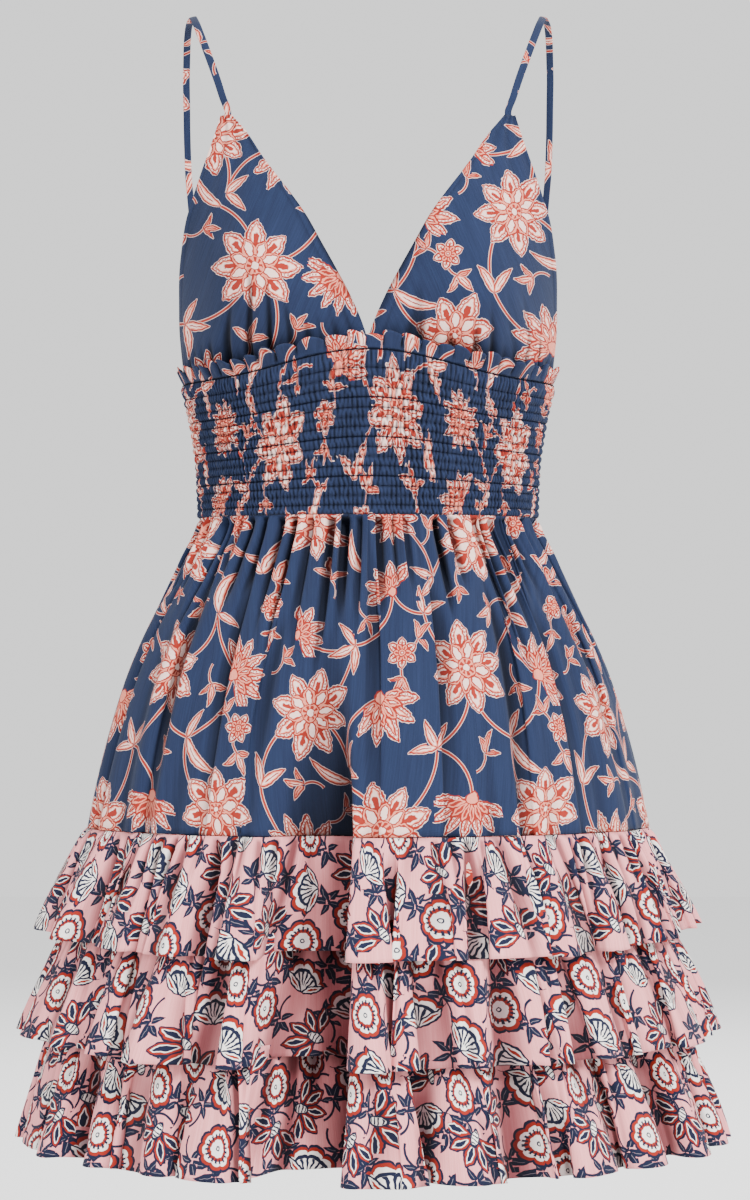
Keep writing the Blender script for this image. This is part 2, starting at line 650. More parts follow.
def rigid_piece(name, mesh, material):
    """A smooth piece that takes its finish from one cotton and moves with the whole dress."""
    mesh.shade_smooth()
    piece = linked(name, mesh)
    mesh.materials.append(MATERIALS[material])
    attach(piece, "root")
    return piece


def cloth_piece(name, points, flat, print_name, shift, thickness=CLOTH, windows=FALLING_FOLDS):
    """A thin closed cloth: the grid is its outer face, and Solidify gives the wall and the rim."""
    index = np.arange(points[..., 0].size).reshape(points.shape[:2])
    mesh = cloth_mesh(name, points, index, flat, print_name, shift)
    shade = mesh.attributes.new("hollow", "FLOAT", "POINT")
    shade.data.foreach_set("value", hollows(points, windows).astype(np.float32).ravel())
    piece = rigid_piece(name, mesh, print_name)
    wall = piece.modifiers.new("cloth thickness", "SOLIDIFY")
    wall.thickness = thickness
    wall.offset = -1.0
    return piece


def sewn_on(node, cut):
    """Says which solid the cloth stands for, how large it is cut, and what holds it."""
    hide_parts(node)
    print(f"{node}: cut {cut[0]:.3f} by {cut[1]:.3f} m")


# %% [markdown]
# ## Drawing with a shader
#
# A motif is maths on its own small coordinates: polar ones for a flower, lengthways ones for a leaf.
# Node trees are hard to read when hundreds of nodes are wired by hand, so a small class lets Python
# expressions add the Math nodes, and one method adds any other node.

# %% Numbers and colours as expressions
def math_node(operation, swapped=False):
    """A method that adds one Math node, with the field as its first or its last input."""
    def add(self, *others):
        sockets = [*others, self] if swapped else [self, *others]
        return self.shader.number("ShaderNodeMath", {"operation": operation}, sockets)
    return add


class Field:
    """A number that varies over the surface. Operators on it add Math nodes."""

    def __init__(self, shader, socket):
        self.shader, self.socket = shader, socket

    __add__ = __radd__ = math_node("ADD")
    __sub__, __rsub__ = math_node("SUBTRACT"), math_node("SUBTRACT", swapped=True)
    __mul__ = __rmul__ = math_node("MULTIPLY")
    __truediv__, __rtruediv__ = math_node("DIVIDE"), math_node("DIVIDE", swapped=True)
    __pow__ = math_node("POWER")
    __gt__, __lt__ = math_node("GREATER_THAN"), math_node("LESS_THAN")
    __abs__ = math_node("ABSOLUTE")
    cosine, sine, angle_to = math_node("COSINE"), math_node("SINE"), math_node("ARCTAN2")
    root, rounded, at_least = math_node("SQRT"), math_node("ROUND"), math_node("MAXIMUM")
    times_plus = math_node("MULTIPLY_ADD")

    def past(self, edge, soft):
        """0 below the edge and 1 above it, with a short slope of the given width."""
        settings = {"operation": "MULTIPLY_ADD", "use_clamp": True}
        return self.shader.number("ShaderNodeMath", settings, [self, 1 / soft, 0.5 - edge / soft])


class Shader:
    """A material's tree, with one method that adds any node."""

    def __init__(self, name):
        self.material = bpy.data.materials.new(name)
        self.material.use_nodes = True
        self.tree = self.material.node_tree
        self.principled = self.tree.nodes["Principled BSDF"]

    def wire(self, node, sockets):
        """Gives sockets, by place or by name, a plain value or a link from a field."""
        for key, value in sockets.items():
            if isinstance(value, Field):
                self.tree.links.new(value.socket, node.inputs[key])
            else:
                node.inputs[key].default_value = value

    def number(self, kind, settings, sockets, output=0):
        """Adds a node: first its settings, then its sockets. Gives the field at one of its outputs."""
        node = self.tree.nodes.new(kind)
        for setting, value in settings.items():
            setattr(node, setting, value)
        self.wire(node, sockets if isinstance(sockets, dict) else dict(enumerate(sockets)))
        return Field(self, node.outputs[output])

    def colour(self, below, above, mask, blend="MIX"):
        """Above laid over below where the mask is 1. The blend MULTIPLY tints below instead."""
        settings = {"data_type": "RGBA", "blend_type": blend}
        return self.number("ShaderNodeMix", settings, {0: mask, 6: below, 7: above}, output=2)

    def attribute(self, name, output="Vector"):
        return self.number("ShaderNodeAttribute", {"attribute_name": name}, {}, output)

    def parts(self, vector):
        """The three numbers of a vector or a colour."""
        x = self.number("ShaderNodeSeparateXYZ", {}, [vector])
        return [Field(self, output) for output in x.socket.node.outputs]


# %% Petals
# A petal's foot and reach in radii, the width in millimetres over which one ink ends, and how far the
# block's edge wavers in radii
PETAL_FOOT, PETAL_REACH, INK_EDGE, WAVER = 0.08, 0.92, 0.22, 0.07


def petal_depth(at, scale=1.0, phase=0.0):
    """How deep a point lies in the nearest petal in radii, its share along it, and which petal.

    The angle is folded into one petal's sector. The half width is 1.75 / n at its widest and goes
    as t^1.4 * (1 - t)^1.1, where t runs from 0 near the centre to 1 at the tip. The petals of an
    inner whorl are a fifth fuller.
    """
    sector = 2 * np.pi / at.petals
    middle = ((at.angle / sector + phase).rounded() - phase) * sector
    off = at.angle - middle
    along = (at.radius * off.cosine()).times_plus(1 / (PETAL_REACH * scale), -PETAL_FOOT / PETAL_REACH)
    t = along.at_least(0.0001)
    narrowing = (1 - t).at_least(0.0)
    fullness = 9.7 * (1.0 + 0.2 * (scale < 1)) * scale
    half_width = (fullness / at.petals) * t ** 1.4 * narrowing ** 1.1
    return half_width - abs(at.radius * off.sine()), t, middle


class Drawing:
    """A colour that motifs are laid over, one ink at a time."""

    def __init__(self, shader, colour, inks):
        self.shader, self.colour, self.inks = shader, colour, inks

    def lay(self, ink, mask):
        self.colour = self.shader.colour(self.colour, self.inks[ink], mask)

    def lay_rings(self, depth, mask, rings):
        """Lays inks one over another wherever the depth in millimetres passes each ring's start."""
        for start, ink in rings:
            self.lay(ink, depth.past(start, INK_EDGE) * mask)


# %% A flower
class FlowerPlace:
    """Where a point lies in its flower: across and up in radii, and as a radius and an angle."""

    def __init__(self, shader):
        x, y, kind = shader.parts(shader.attribute("flower_place"))
        self.disc, self.spread, self.size = shader.parts(shader.attribute("flower_form"))
        self.x, self.y = x + shader.wobble[0] * WAVER, y + shader.wobble[1] * WAVER
        self.petals = abs(kind)
        self.pointed = kind > 0
        self.whole = self.spread > np.radians(WHOLE)
        self.angle = self.x.angle_to(self.y)
        # Longer and shorter petals, in another order on each size of flower
        uneven = (self.angle * 2 + self.size).cosine() + (self.angle * 3 + self.size).sine()
        self.radius = (self.x * self.x + self.y * self.y).root() * (1.03 + 0.05 * uneven)

    def shows(self, petal, t):
        """1 in a star's petals, apart from their very tips, within the flower's spread."""
        return self.pointed * (abs(petal) < self.spread) * (t < 0.995)


def draw_star(drawing, at):
    """Two whorls of pointed petals. A part flower shows only the petals within its spread."""
    inks = drawing.inks
    outer, t, petal = petal_depth(at)
    shown = at.shows(petal, t)
    core = shown * t.past(0.34, 0.03) * (0.66 - t).past(0.0, 0.03)
    drawing.lay_rings(outer * at.size, shown, inks["outer_rings"])
    drawing.lay_rings(outer * at.size, core, inks["outer_core"])
    if not inks["scalloped"]:
        rim = (outer * at.size - 1.75).past(0.0, 0.2) * (2.55 - outer * at.size).past(0.0, 0.2)
        drawing.lay("accent", (t * at.size * 2.4).cosine().past(0.25, 0.4) * rim * shown)
    inner, t, petal = petal_depth(at, 0.60, 0.5)
    drawing.lay_rings(inner * at.size, at.shows(petal, t), inks["inner_rings"])


def draw_scallops(drawing, at):
    """A ring of round bumps, each half a circle's arc: 0.86 + 0.14 * sqrt(1 - s^2)."""
    rounded, part = 1 - at.pointed, 1 - at.whole
    sector = 2 * np.pi / at.petals
    off = at.angle - (at.angle / sector).rounded() * sector
    arc = (1 - (off / sector * 2) ** 2).at_least(0.0).root()
    within = rounded * (at.spread - abs(at.angle)).past(-0.01, 0.02)
    edge = (0.86 + 0.14 * arc - at.radius) * at.size
    drawing.lay_rings(edge, within, ((-0.8, "line"), (1.0, "accent"), (3.5, "pale")))
    wavy = abs(at.radius - at.disc - 0.05 * arc) * at.size
    ring = (1.3 - wavy).past(0.0, 0.22) * within
    drawing.lay("accent", ring * at.whole)
    drawing.lay("line", ring * part)
    tick = (at.angle * at.petals * 2).cosine().past(0.05, 0.4)
    outside = (at.radius - at.disc).past(0.02, 0.03) * (at.disc + 0.22 - at.radius).past(0.0, 0.03)
    inside = (at.disc - at.radius).past(0.0, 0.03) * (at.radius - 0.22).past(0.0, 0.03)
    drawing.lay("line", tick * within * (outside * at.whole).at_least(inside * part))
    # Two sepals lie along the edges of a fan
    side = abs(at.angle) - at.spread
    t = (at.radius * side.cosine() / PETAL_REACH).at_least(0.0001)
    sepal = 0.42 * t ** 0.8 * (1 - t).at_least(0.0) ** 0.9 - abs(at.radius * side.sine())
    drawing.lay_rings(sepal * at.size, rounded * part, ((-0.3, "line"), (1.1, "pale"), (2.2, "accent")))


def draw_centre(drawing, at):
    """A ringed disc in a whole flower, and an eye-shaped bud or a small cup at a part one's foot."""
    part = 1 - at.whole
    disc = (at.disc * 0.6 - at.radius) * at.size
    shown = at.whole * at.pointed
    drawing.lay_rings(disc, shown, ((-0.3, "line"), (0.6, "fill")))
    drawing.lay("accent", (at.angle * at.petals).cosine().past(-0.1, 0.5) * disc.past(1.4, 0.2) * shown)
    drawing.lay_rings((at.disc * 0.26 - at.radius) * at.size, shown, ((0.0, "accent"), (0.7, "pale")))
    if not drawing.inks["scalloped"]:
        drawing.lay_rings((0.15 - at.radius) * at.size, part, ((-0.4, "line"), (0.6, "fill")))
        return
    drawing.lay_rings((0.09 - at.radius) * at.size, at.whole, ((-0.4, "line"), (0.5, "pale")))
    up = at.y - 0.06
    bud = (1 - ((at.x / 0.15) ** 2 + (up / 0.27) ** 2).root()) * at.size * 0.15
    shown = at.pointed * part
    drawing.lay_rings(bud, shown, ((0.0, "line"), (1.0, "pale")))
    drawing.lay("line", (at.y * 60).cosine().past(0.3, 0.4) * bud.past(1.1, 0.2) * shown)


def draw_flower(drawing):
    """Lays one flower over the colour: its petals, then its scallops if it has any, then its middle."""
    at = FlowerPlace(drawing.shader)
    draw_star(drawing, at)
    if drawing.inks["scalloped"]:
        draw_scallops(drawing, at)
    draw_centre(drawing, at)


# %% Leaves and stems
def draw_leaf(drawing):
    """Lays one leaf over the colour. Its half width is 1.7 * fatness * t^0.6 * (1 - t)."""
    shader, inks = drawing.shader, drawing.inks
    along, across, fatness = shader.parts(shader.attribute("leaf_place"))
    across = across + shader.wobble[0] * 1.2
    t = along.at_least(0.0001)
    depth = fatness * 1.7 * t ** 0.6 * (1 - t).at_least(0.0) - abs(across)
    live = (along > 0.0) * (along < 1.0)
    drawing.lay_rings(depth, live, inks["leaf_rings"])
    vein = (inks["vein_width"] - abs(across)).past(0.0, 0.2) * along.past(0.2, 0.05)
    drawing.lay("leaf_vein", vein * (0.72 - along).past(0.0, 0.05) * live)


def draw_stem(drawing):
    """Lays an arc over the colour, from its distance and its share of the way."""
    off, share, width = drawing.shader.parts(drawing.shader.attribute("stem_place"))
    live = (1 - abs(share)).past(0.0, 0.02)
    drawing.lay_rings(width - abs(off), live, drawing.inks["stem_rings"])


# %% [markdown]
# ## The two cottons
#
# Both are light crinkled cottons, matt, with fine ribs that run down the cloth. The ground is not one
# flat colour: the dye takes unevenly along the ribs. The weave could be real relief, but it is finer
# than a hair, so a bump map gives it, and only the gathers and folds are real geometry.

# %% Inks and cloth
# Linear colours: deeper than they look, because the light here is bright. A row of rings says how many
# millimetres inside a motif's outline each ink starts
BLUE_INKS = {
    "ground": (0.016, 0.0262, 0.066, 1), "rib": (0.011, 0.0175, 0.046, 1), "valley": (0.06, 0.06, 0.08, 1),
    "line": (0.275, 0.021, 0.0135, 1), "accent": (0.3, 0.027, 0.018, 1), "fill": (0.78, 0.24, 0.165, 1),
    "pale": (0.88, 0.6, 0.53, 1), "halo": (0.7, 0.5, 0.45, 1), "scalloped": False,
    "outer_rings": (
        (-0.5, "halo"), (0.0, "line"), (1.5, "pale"), (2.8, "accent"), (3.8, "fill"), (4.6, "pale"),
    ),
    "outer_core": ((5.8, "accent"),),
    "inner_rings": ((-0.7, "line"), (0.8, "fill"), (1.9, "accent"), (3.0, "pale")),
    "leaf_rings": ((-0.45, "halo"), (0.0, "line"), (1.1, "fill"), (1.9, "pale")),
    "leaf_vein": (0.30, 0.027, 0.018, 1), "vein_width": 0.40,
    "stem_rings": ((-0.40, "halo"), (0.0, "accent")),
}
PINK_INKS = {
    "ground": (0.93, 0.385, 0.390, 1), "rib": (0.79, 0.275, 0.285, 1),
    "valley": (0.12, 0.05, 0.065, 1),
    "line": (0.0105, 0.0135, 0.036, 1), "accent": (0.29, 0.021, 0.0125, 1), "fill": (0.88, 0.8, 0.76, 1),
    "pale": (0.92, 0.86, 0.81, 1), "scalloped": True,
    "outer_rings": ((-0.6, "line"), (0.8, "accent"), (2.3, "pale"), (3.1, "line")),
    "outer_core": (),
    "inner_rings": (),
    "leaf_rings": ((0.0, "line"),),
    "leaf_vein": (0.30, 0.26, 0.30, 1), "vein_width": 0.12,
    "stem_rings": ((0.0, "line"),),
}
BLACK = (0.0, 0.0, 0.0, 1.0)


def printed_cotton(name, inks):
    """Ground, stems, leaves and flowers, in that order, on a ribbed cloth."""
    shader = Shader(name)
    cloth_place = shader.number("ShaderNodeUVMap", {"uv_map": "cloth"}, {})

    def noise(scale, detail, output=0):
        """Noise with that many bumps a metre across and down the cloth."""
        stretched = shader.number("ShaderNodeMapping", {}, {"Vector": cloth_place, "Scale": scale})
        sockets = {"Vector": stretched, "Scale": 1.0, "Detail": detail}
        return shader.number("ShaderNodeTexNoise", {"noise_dimensions": "2D"}, sockets, output)

    drawn = shader.parts(noise((260, 260, 1), 1.0, "Color"))
    shader.wobble = [drawn[axis] - 0.5 for axis in range(2)]
    ribs = noise((950, 28, 1), 2.0)
    slub = noise((220, 18, 1), 3.0)
    weave = noise((1500, 1500, 1), 1.0)
    streak = (ribs * 0.6 + slub * 0.4).past(0.5, 0.5)
    drawing = Drawing(shader, shader.colour(inks["ground"], inks["rib"], streak), inks)
    for draw in (draw_stem, draw_leaf, draw_flower):
        draw(drawing)
    # Ink lies unevenly in the weave, and little light reaches the bottom of a fold
    shade = shader.colour(drawing.colour, BLACK, (1 - weave) * 0.10 + streak * 0.06)
    shade = shader.colour(shade, inks["valley"], shader.attribute("hollow", "Fac"), "MULTIPLY")
    relief = ribs * 0.7 + slub * 0.5 + weave * 0.35
    bump = {"Strength": 0.55, "Distance": 0.0004, "Height": relief}
    shader.wire(shader.principled, {
        "Base Color": shade,
        "Normal": shader.number("ShaderNodeBump", {}, bump),
        "Roughness": 0.88,
        "Specular IOR Level": 0.12,
        "Sheen Weight": 0.05,
        "Sheen Roughness": 0.5,
    })
    print(f"{name}: {len(shader.tree.nodes)} nodes")
    return shader.material


def plain_thread(name, colour):
    """One dark colour, uneven where the thread's twist shows."""
    shader = Shader(name)
    twist = shader.number("ShaderNodeTexNoise", {}, {"Scale": 2500.0, "Detail": 1.0})
    shaded = shader.colour(colour, BLACK, twist * 0.4)
    shader.wire(shader.principled, {"Base Color": shaded, "Roughness": 0.9, "Specular IOR Level": 0.05})
    return shader.material


MATERIALS = {
    "blue": printed_cotton("blue_print_cotton", BLUE_INKS),
    "pink": printed_cotton("pink_print_cotton", PINK_INKS),
    "thread": plain_thread("blue_thread", (0.004, 0.006, 0.016, 1.0)),
}

# %% [markdown]
# ## The skirt
#
# Each half is a wide panel gathered into the waist seam. Small gathers start at the seam and fade,
# and the large folds deepen towards the hem. The print follows the cloth: its coordinates are
# measured along the rows, folds included.

# %% Skirt panels
WAIST_GATHERS = 30
# Depths of the gathers, of the fine ones between them, and of the soft folds that follow below
GATHER, FINE_GATHER, SOFT_FOLD = 0.0022, 0.0013, 0.0015
# How far the skirt laps over the band, and half the slit between front and back, in degrees
SEAM_LAP, SEAM_SLIT = 0.0008, 0.004
# Angle at the waist, angle at the hem, half width, depth in millimetres, slip, start
SKIRT_CREASES = all_creases([
    (-70, -73, 2, 3.5, 1, 0), (-52, -50, 2, 4, -1.1, 0.05), (-36, -36, 1.8, 3.5, 1.1, 0),
    (-21, -25, 2, 4.5, -1, 0.05), (1, 0.5, 1.8, 3, 1, 0), (20, 17, 1.8, 3.5, -1.1, 0),
    (37, 33, 2, 4.5, 1.2, 0), (51, 50, 2, 4, -1.1, 0.05), (66, 68, 2, 3.5, 1, 0),
], 71, 92, 262)
SKIRT_CREASES[:, 3] *= np.where(np.abs(SKIRT_CREASES[:, 0]) > 90, 0.8, 1.1)
# Tucks that the gathering makes just below the waist, narrower and shallower than the creases
TUCK_RANGES = ((81, -92, 84), (82, -88, 88), (84, -84, 90), (83, 88, 268), (85, 92, 266))
TUCKS = np.vstack([hidden_creases(*where) for where in TUCK_RANGES])
TUCKS[:, 2] *= 0.62
TUCKS[:, 3] *= 0.75


def skirt_surface(angle, height, gathered=1.0):
    """The form, plus gathers that fade below the waist, minus the large folds and the creases."""
    below = WAIST - height
    down = below / (WAIST - SKIRT_HEM)
    seams = at_the_seams(angle)
    wide = np.cos(np.radians(WAIST_GATHERS * angle) + 0.8 * np.sin(np.radians(5 * angle)))
    gathers = GATHER * (1 - smooth_step(below, 0.015, 0.090)) * wide
    fine = FINE_GATHER * slow_change(angle, 6, 0.3, 1.4) * np.cos(uneven_wave(angle, 64, 5, 1.6))
    gathers = gathers + fine * (1 - smooth_step(below, 0.010, 0.075)) * smooth_step(below, 0.0, 0.006)
    soft = SOFT_FOLD * slow_change(angle, 9, 0.2, 1.5) * np.cos(uneven_wave(angle + 6 * below, 26, 8, 1.8))
    gathers = gathers + soft * smooth_step(below, 0.015, 0.07)
    crease, creased = creases(angle, down, SKIRT_CREASES)
    faded = 1 - 0.55 * smooth_step(down, 0.35, 1.0)
    tuck, tucked = creases(angle, down + 1, TUCKS)
    short = (1 - smooth_step(below, 0.020, slow_change(angle, 33, 0.050, 0.150))) * gathered
    deep, slipped = crease * faded + tuck * short, creased * faded + tucked * short
    fold, slip = large_folds(angle, height)
    pinched = smooth_step(below, 0.0, 0.005)
    outwards = seams * pinched * (gathers * gathered - deep) - fold
    return form_point(angle + seams * (slip + slipped), height, outwards)


def half_angles(side, columns):
    """Angles across the front or the back half, from one side seam's slit to the other."""
    start = -90 if side == "front" else 90
    return np.linspace(start + SEAM_SLIT, start + 180 - SEAM_SLIT, columns)


def flat_places(points, gather_top, gather_bottom):
    """The cloth's own flat coordinates: along the rows from their middle, times the gathering."""
    along = distance_along(points, 1)
    along = along - 0.5 * along[:, -1:]
    share = np.linspace(0, 1, len(points))[:, None]
    fullness = gather_top + (gather_bottom - gather_top) * share
    down = distance_along(points, 0).mean(axis=1, keepdims=True)
    return np.stack([along * fullness, -down + 0 * along], axis=-1)


PRINT_SHIFT = {"front": (104, 60), "back": (30, 150)}
for side in ("front", "back"):
    # The rows lie closer at the top, where the seam pinches the gathers and laps over the band
    heights = WAIST + SEAM_LAP + (SKIRT_HEM - WAIST - SEAM_LAP) * np.linspace(0, 1, 60) ** 1.3
    angle, height = np.meshgrid(half_angles(side, 400), heights)
    points = skirt_surface(angle, height)
    flat = flat_places(skirt_surface(angle, height, 0.0), 1.35, 1.05)
    piece = cloth_piece(f"skirt_cloth_{side}", points, flat, "blue", PRINT_SHIFT[side])
    # A tenth more for the small gathers at the seam
    cut = (full_length(points, 1).max() * 1.1, full_length(points, 0).mean())
    sewn_on(f"skirt_{side}", cut)

# %% [markdown]
# ## The underskirt
#
# The two lower ruffles must hang from something that the upper one hides: a plain layer inside the
# skirt's hem. It follows the skirt's folds at a wall's distance, so that nothing shows through.

# %% Underskirt panels
for side in ("front", "back"):
    angle, height = np.meshgrid(half_angles(side, 200), np.linspace(UNDERSKIRT_TOP, UNDERSKIRT_HEM, 20))
    outer = skirt_surface(angle, height)
    points = outer - normals_of(skirt_surface, angle, height) * (WALL + SEAM_GAP)
    flat = flat_places(points, 1.0, 1.0)
    piece = cloth_piece(f"underskirt_cloth_{side}", points, flat, "blue", PRINT_SHIFT[side])
    cut = (full_length(points, 1).max(), full_length(points, 0).mean())
    sewn_on(f"underskirt_{side}", cut)

# %% [markdown]
# ## The ruffle tiers
#
# A ruffle is a straight strip gathered along its top, so its fullness goes into waves that grow
# towards the hem. Real waves are uneven: crests are broad, valleys are narrow, and some lean over.
# Moving the points sideways as well as outwards gives that, where a plain sine would look turned.

# %% Tier panels
TIER_WAVES = 28
# Heights of the fine ripples under the seam and of the middle-sized waves, and how far folds lift a hem
RIPPLE, MIDDLE_WAVE, HEM_LIFT = 0.0016, 0.0015, 0.10
# Top height, hem height in front, rise of the hem at the sides, half width, front depth and back
# depth of the hem, wave depth, two phases, swing towards +X
TIERS = {
    "tier1": (SKIRT_HEM - 0.0006, -0.668, 0.011, 0.237, 0.197, 0.1975, 0.005, 0.4, 2.1, 0),
    "tier2": (TIER_2_SEAM, -0.74, 0.009, 0.251, 0.209, 0.2095, 0.0055, 1.9, 0.6, 0.0015),
    "tier3": (UNDERSKIRT_HEM - 0.0006, -0.816, 0.008, 0.255, 0.216, 0.2165, 0.006, 3, 4.2, 0.005),
}
# Angle at the top, angle at the hem, half width, depth in millimetres, slip, start
TIER_CREASES = {
    "tier1": all_creases([
        (-76, -77, 1.8, 5, 1, 0.1), (-61, -62.5, 1.9, 7, 1.2, 0), (-51, -52, 1.6, 6, -1.2, 0.05),
        (-44.5, -45.2, 1.5, 5.5, 1.2, 0.15), (-37.8, -38.4, 1.5, 5, -1.1, 0),
        (-31.5, -32.2, 1.9, 9.5, 1.3, 0), (-23, -23.5, 1.5, 4, 1, 0.25), (4, 3.9, 1.6, 6, -1.2, 0.05),
        (12.5, 12, 1.4, 4, 1.1, 0.2), (20, 20.2, 1.9, 9, 1.3, 0), (27, 26.5, 1.4, 4, -1.1, 0.1),
        (33.2, 33.6, 1.9, 9, -1.3, 0), (40.2, 40.8, 1.5, 5.5, 1.2, 0.05), (52.6, 53.6, 1.8, 7, -1.2, 0),
        (63, 64, 1.6, 5.5, 1.1, 0.1), (76, 77, 1.8, 5.5, 1.1, 0),
    ], 72, 90, 262),
    "tier2": all_creases([
        (-78, -79, 1.8, 5, -1, 0), (-65, -66, 1.9, 8, 1.2, 0), (-55, -55.6, 1.6, 5.5, 1.1, 0.1),
        (-46, -46.6, 1.6, 6.5, -1.2, 0), (-36.6, -36, 1.5, 5, 1.1, 0.1), (-27.5, -28, 1.7, 7, 1.2, 0),
        (-20, -20.4, 1.4, 4, -1, 0.2), (3.4, 3, 1.6, 6, 1.2, 0), (11.4, 11.8, 1.9, 9, -1.3, 0),
        (23.6, 23.9, 1.5, 5.5, 1.2, 0.05), (29, 28.4, 1.5, 5, -1.1, 0.1), (38.4, 39, 1.9, 9, 1.3, 0),
        (46.5, 47, 1.5, 4.5, 1, 0.2), (53.4, 53.8, 1.8, 7, -1.2, 0), (65, 66, 1.7, 6, 1.1, 0.05),
        (77, 78, 1.7, 5, -1, 0.1),
    ], 73, 92, 262),
    "tier3": all_creases([
        (-73, -74, 1.8, 5.5, 1.1, 0), (-59.2, -60, 1.7, 6.5, -1.2, 0), (-49.4, -50, 1.6, 6, 1.2, 0.05),
        (-42.4, -42, 1.6, 6, -1.2, 0), (-33, -33.6, 1.6, 5.5, 1.1, 0.1), (-24.6, -25, 1.6, 6, 1.2, 0),
        (-19, -18.6, 1.3, 3.5, -1, 0.2), (1.8, 1.4, 1.4, 4.5, 1.1, 0.1), (9.8, 10.2, 2, 9.5, -1.3, 0),
        (17, 17.2, 1.4, 4, 1.1, 0.2), (23.6, 23.8, 1.6, 6, 1.2, 0), (30.6, 31, 1.6, 6, -1.2, 0),
        (42.6, 43, 1.7, 6.5, 1.2, 0.05), (56.4, 57.2, 2.6, 11, 1.2, 0), (68, 69, 1.7, 6, -1.1, 0.05),
        (79, 80, 1.6, 5, 1, 0.1),
    ], 74, 94, 262),
}


def tier_surface(tier, angle, down):
    """From the top seam to the flared hem ring, plus leaning waves, minus the large folds."""
    top, hem, rise, half_width, front, back, depth, three, five, sway = TIERS[tier]
    seams = at_the_seams(angle)
    turn = np.radians(angle)
    phase = TIER_WAVES * turn + 0.9 * np.sin(3 * turn + three) + 0.6 * np.sin(5 * turn + five)
    seed = int(three * 10)
    strength = slow_change(angle, seed, 0.45, 1.5)
    lean = slow_change(angle, seed + 1, -0.8, 0.8)
    grown = np.clip(down, 0, 1) ** 0.85
    moved_angle = angle + seams * grown * strength * (1.9 * np.sin(phase) + 1.6 * lean * np.cos(phase))
    height = top + (hem + rise * np.sin(turn) ** 6 - top) * down
    height = height + HEM_LIFT * large_folds(angle, height)[0] * down ** 2
    fold, slip = large_folds(angle, height)
    deep, slipped = creases(angle, down, TIER_CREASES[tier])
    moved_angle = moved_angle + seams * (slipped + slip)
    # The third tier is sewn to the underskirt's hem, which lies a wall inside the form
    start = form_point(moved_angle, top + 0 * down, -WALL - SEAM_GAP if tier == "tier3" else 0.0)
    edge_x, edge_y = ring_point(moved_angle, half_width, front, back)
    flared = down * (1.25 - 0.25 * down)
    x = start[..., 0] + (edge_x + sway - start[..., 0]) * flared
    y = start[..., 1] + (edge_y - start[..., 1]) * flared
    wave = depth * grown * strength * (np.cos(phase) + 0.18 * np.cos(2 * phase + lean))
    ripple = RIPPLE * slow_change(angle, seed + 3, 0.2, 1.6) * np.cos(uneven_wave(angle, 110, seed + 2, 2.0))
    wave = wave + ripple * smooth_step(down, 0.0, 0.06) * (1 - 0.75 * smooth_step(down, 0.1, 0.7))
    middle = np.cos(uneven_wave(angle + 3 * down, 61, seed + 4, 2.4))
    wave = wave + MIDDLE_WAVE * grown * slow_change(angle, seed + 5, 0.0, 1.6) * middle
    moved = (wave - deep) * seams - fold
    oval_x, oval_y = ring_point(moved_angle, half_width, front, back, 1.0)
    return np.stack([x + moved * (oval_x - edge_x), y + moved * (oval_y - edge_y), height], axis=-1)


def strip_places(points, fullness, smoothing=9):
    """Flat places of a straight gathered strip: every row takes the lower half's mean steps."""
    steps = np.diff(distance_along(points, 1)[len(points) // 2:], axis=1).mean(axis=0)
    padded = np.pad(steps, smoothing // 2, mode="reflect")
    even = np.convolve(padded, np.ones(smoothing) / smoothing, mode="valid")
    along = np.concatenate([[0.0], np.cumsum(even)]) * fullness
    down = distance_along(points, 0).mean(axis=1, keepdims=True)
    along = np.broadcast_to(along - 0.5 * along[-1], points.shape[:2])
    return np.stack([along, -down + 0 * along], axis=-1)


for number, tier in enumerate(TIERS):
    for side in ("front", "back"):
        angle, down = np.meshgrid(half_angles(side, 540), np.linspace(0, 1, 25))
        points = tier_surface(tier, angle, down)
        flat = strip_places(points, 1.04)
        # Each strip is cut from another place in the print
        shift = (37 * number, 53 * number) if side == "front" else (90 + 41 * number, 20)
        piece = cloth_piece(f"{tier}_cloth_{side}", points, flat, "pink", shift)
        cut = (float(np.ptp(flat[0, :, 0])), full_length(points, 0).mean())
        sewn_on(f"{tier}_{side}", cut)

# %% [markdown]
# ## The shirred band
#
# Rows of elastic thread draw the cloth in to little more than half its width. Between two rows it
# puffs out, and it is pinched into fine upright puckers that shift from row to row. The puffs and the
# puckers are real relief here, because they catch the light and break up the print.

# %% Band panels
# From the heading to the second elastic row at the side, and the rows from there to the waist
FIRST_ROW_GAP, SHIRRED_ROWS = 0.0105, 15
# Heights of the puffs and of the puckers, and how much wider the cloth is cut than the band measures
PUFF, PUCKER, SHIRR_FULLNESS = 0.00174, 0.00075, 1.6
first_row = FIRST_ROW_GAP / (BAND_TOP_SIDE - WAIST)
even_rows = np.arange(1, SHIRRED_ROWS + 1) / SHIRRED_ROWS
# Where each elastic row lies, as a share of the way from the band's top to the waist
ROW_SHARES = np.concatenate([[0.0, first_row], first_row + (1 - first_row) * even_rows])


def elastic_row(share):
    """Which row lies above each share, and how far the share has come towards the next row."""
    row = np.clip(np.searchsorted(ROW_SHARES, share, side="right") - 1, 0, len(ROW_SHARES) - 2)
    return row, (share - ROW_SHARES[row]) / (ROW_SHARES[row + 1] - ROW_SHARES[row])


def band_height(angle, share):
    """A share of the way from the band's top edge down to the waist."""
    return band_top(angle) + (WAIST - band_top(angle)) * share


